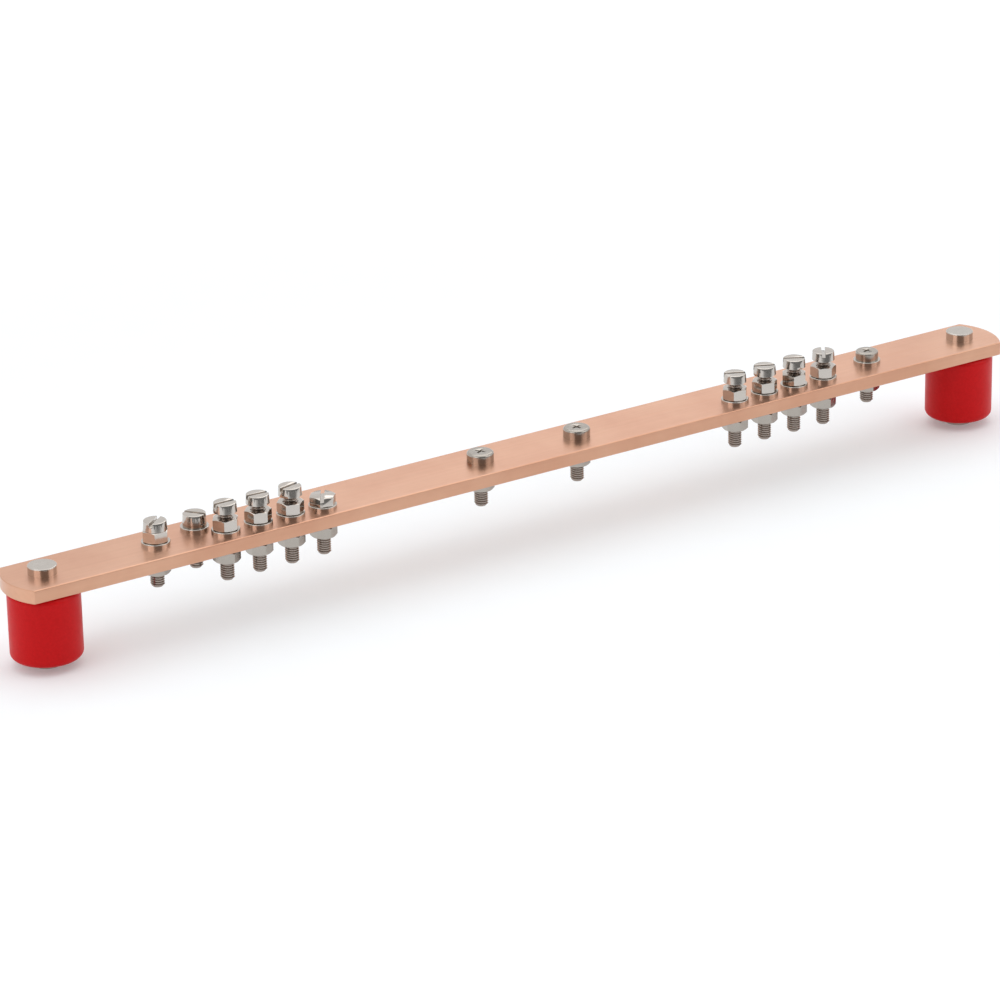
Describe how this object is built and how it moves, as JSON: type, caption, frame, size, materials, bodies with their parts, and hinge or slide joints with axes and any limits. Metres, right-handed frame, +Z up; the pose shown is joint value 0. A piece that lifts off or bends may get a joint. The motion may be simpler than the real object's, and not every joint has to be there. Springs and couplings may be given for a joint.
{
  "type": "rack grounding busbar",
  "caption": "Flat copper bar on a red cylindrical insulator at each end, set with steel screw terminals for bonding the cables of an equipment rack to earth.",
  "frame": {"origin": "midway between the two ends of the bar, centred on its width, on the surface that the foot screws stand on", "axes": "+X along the bar towards the end with the single short terminal, +Y towards the back edge, away from the groups of tall terminals, +Z up"},
  "size_m": [0.498, 0.03, 0.0529],
  "materials": {
    "copper": "drawn copper, bare, fine lengthwise grain",
    "red_moulding": "red thermoset moulding, smooth, satin gloss",
    "steel": "plain stainless steel, bright turned and pressed"
  },
  "bodies": {
    "root": {"busbar": "copper", "left_insulator": "red_moulding", "left_upper_insert": "steel", "left_lower_insert": "steel", "right_insulator": "red_moulding", "right_upper_insert": "steel", "right_lower_insert": "steel", "left_bar_screw": "steel", "left_foot_screw": "steel", "right_bar_screw": "steel", "right_foot_screw": "steel", "first_screw": "steel", "first_clamp_nut": "steel", "first_upper_washer": "steel", "first_lower_washer": "steel", "first_lower_nut": "steel", "second_screw": "steel", "second_spring_washer": "steel", "second_upper_washer": "steel", "second_lower_washer": "steel", "second_lower_nut": "steel", "left_tall_screws": "steel", "left_clamp_nuts": "steel", "left_upper_washers": "steel", "left_lower_washers": "steel", "left_lower_nuts": "steel", "hexagon_screw": "steel", "hexagon_upper_washer": "steel", "hexagon_lower_washer": "steel", "hexagon_lower_nut": "steel", "middle_screws": "steel", "middle_lower_washers": "steel", "middle_lower_nuts": "steel", "right_tall_screws": "steel", "right_clamp_nuts": "steel", "right_upper_washers": "steel", "right_lower_washers": "steel", "right_lower_nuts": "steel", "last_screw": "steel", "last_upper_washer": "steel", "last_lower_washer": "steel", "last_lower_nut": "steel"}
  },
  "joints": []
}
